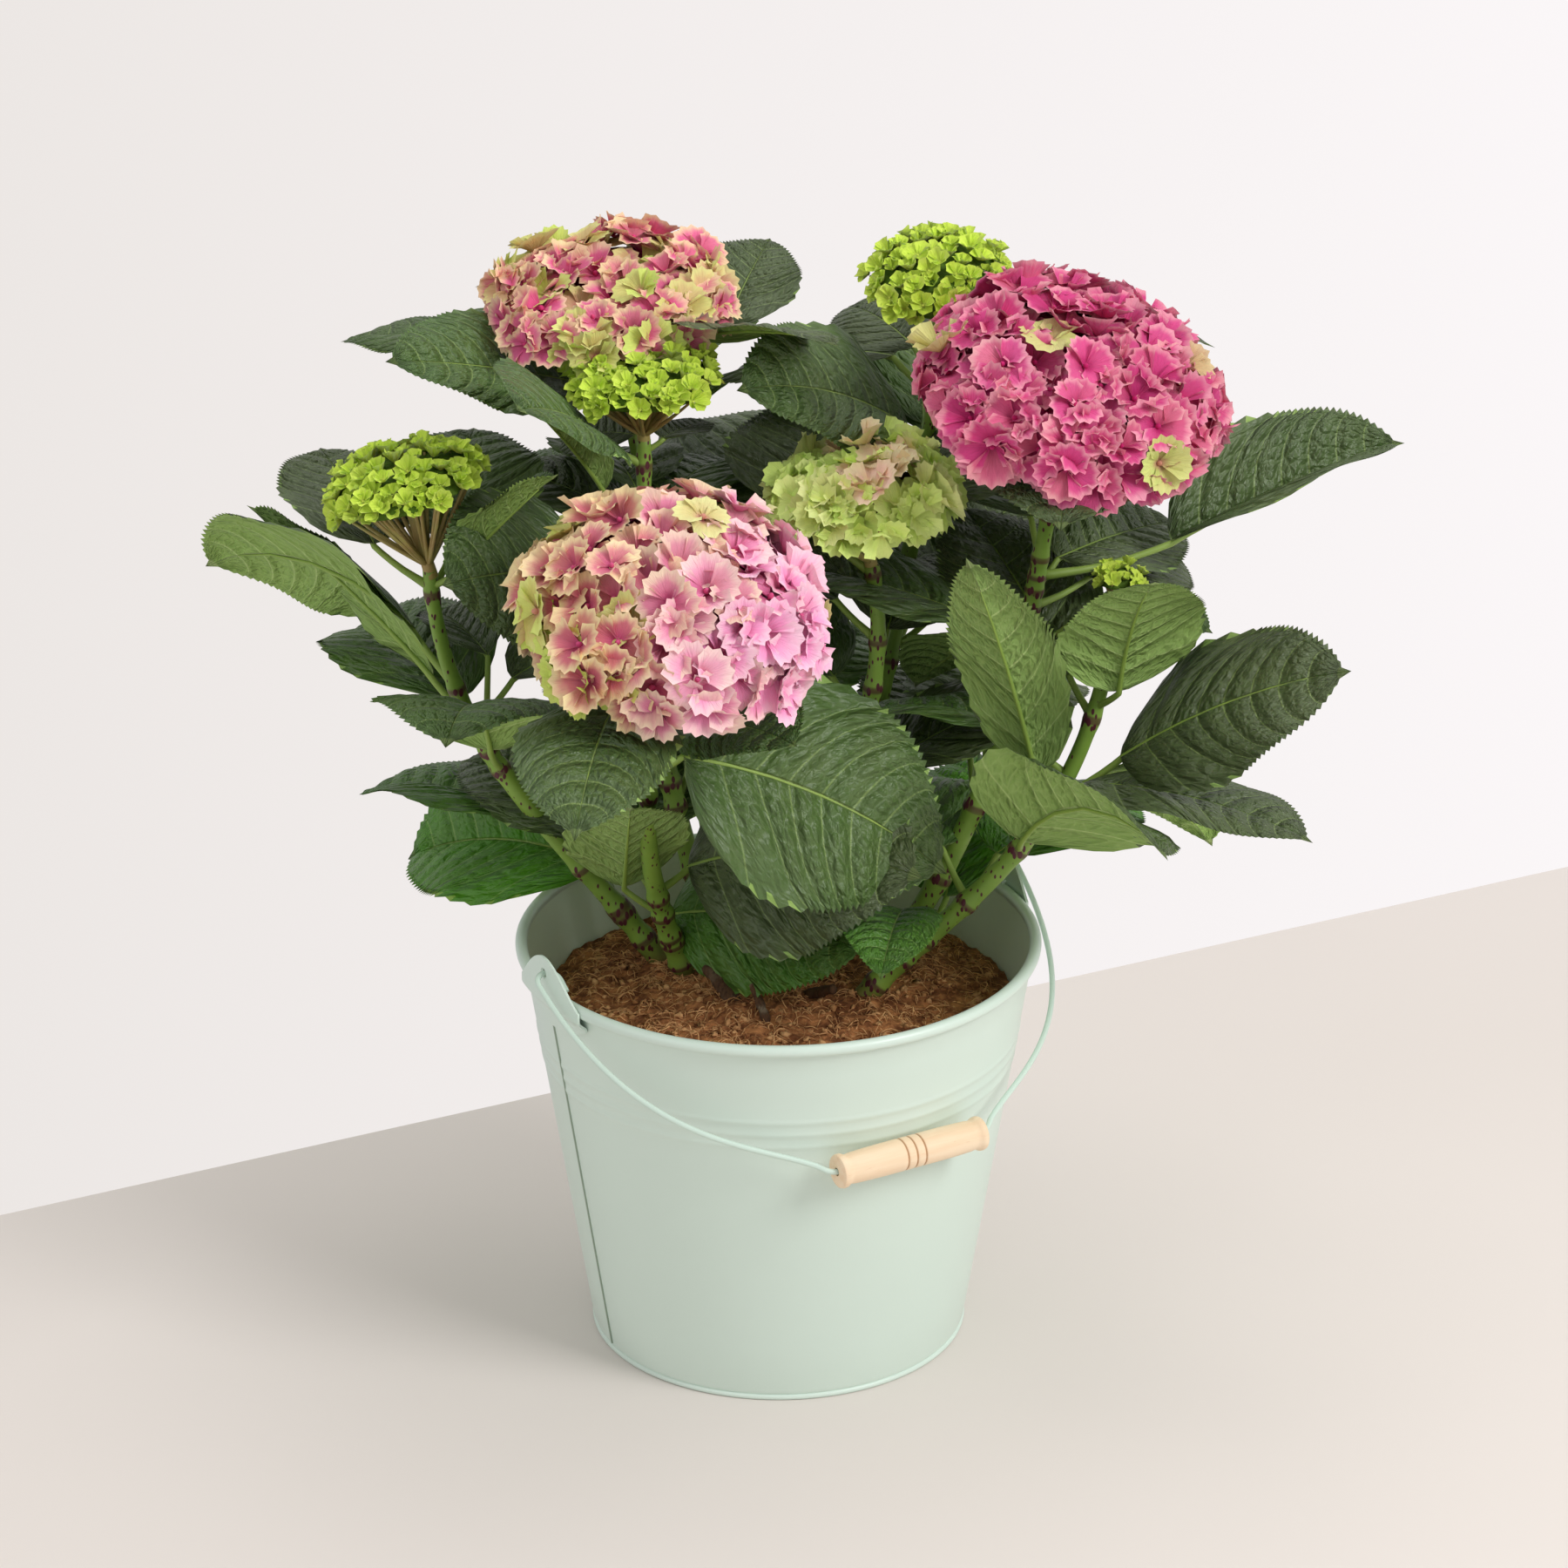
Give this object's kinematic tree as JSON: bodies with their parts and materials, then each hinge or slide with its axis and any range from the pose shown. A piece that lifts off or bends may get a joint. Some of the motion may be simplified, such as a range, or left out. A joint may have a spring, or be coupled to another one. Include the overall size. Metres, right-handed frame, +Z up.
{
  "type": "potted hydrangea",
  "caption": "Mophead hydrangea shrub growing in a tapered sheet-metal pail with a hinged wire bail and a turned wooden grip.",
  "frame": {"origin": "centre of the pail's flat underside, on the surface it stands on", "axes": "+Z up, +X to the right of the front view, +Y away from the front"},
  "size_m": [0.5943, 0.4236, 0.5427],
  "materials": {
    "pail": "satin pale mint green paint over sheet steel",
    "wire": "satin pale mint green paint over round steel wire",
    "beech": "turned pale wood, plain, with three turned grooves",
    "soil": "dark brown fibrous potting soil",
    "old_wood": "dead grey-brown woody stubs, cut across",
    "green_stem": "half-woody green canes with dark flecks",
    "leaf": "satin green leaves, pale veins and paler undersides",
    "pink_petal": "matt pink sepals",
    "salmon_petal": "matt salmon pink sepals turning cream-green at the edges",
    "lime_petal": "matt lime green young sepals"
  },
  "bodies": {
    "pot": {"pail": "pail", "ear_left": "pail", "ear_right": "pail", "soil": "soil", "stub_1": "old_wood", "stub_2": "old_wood", "stub_3": "old_wood", "stub_4": "old_wood", "cane_tall_right": "green_stem", "cane_front": "green_stem", "cane_right": "green_stem", "cane_middle": "green_stem", "cane_left": "green_stem", "cane_mid_left": "green_stem", "cane_back_left": "green_stem", "cane_back_right": "green_stem", "leaves_tall_right": "leaf", "leaves_front": "leaf", "leaves_right": "leaf", "leaves_middle": "leaf", "leaves_left": "leaf", "leaves_mid_left": "leaf", "leaves_back_left": "leaf", "leaves_back_right": "leaf", "bloom_tall_right": "pink_petal", "bloom_front": "salmon_petal", "bloom_right": "lime_petal", "bloom_middle": "salmon_petal", "bloom_left": "lime_petal", "bloom_mid_left": "lime_petal", "bloom_back_left": "pink_petal", "bloom_back_right": "lime_petal"},
    "bail": {"bail_wire": "wire"},
    "handle": {"grip": "beech"}
  },
  "joints": [
    {"name": "bail_swing", "type": "hinge", "parent": "pot", "child": "bail", "pos_m": [0, 0, 0.2205], "axis": [-0.8616, -0.5075, 0], "range_deg": [0, 48]},
    {"name": "grip_spin", "type": "hinge", "parent": "bail", "child": "handle", "pos_m": [0.06328, -0.10743, 0.14454], "axis": [0.8616, 0.5075, 0], "continuous": true}
  ]
}
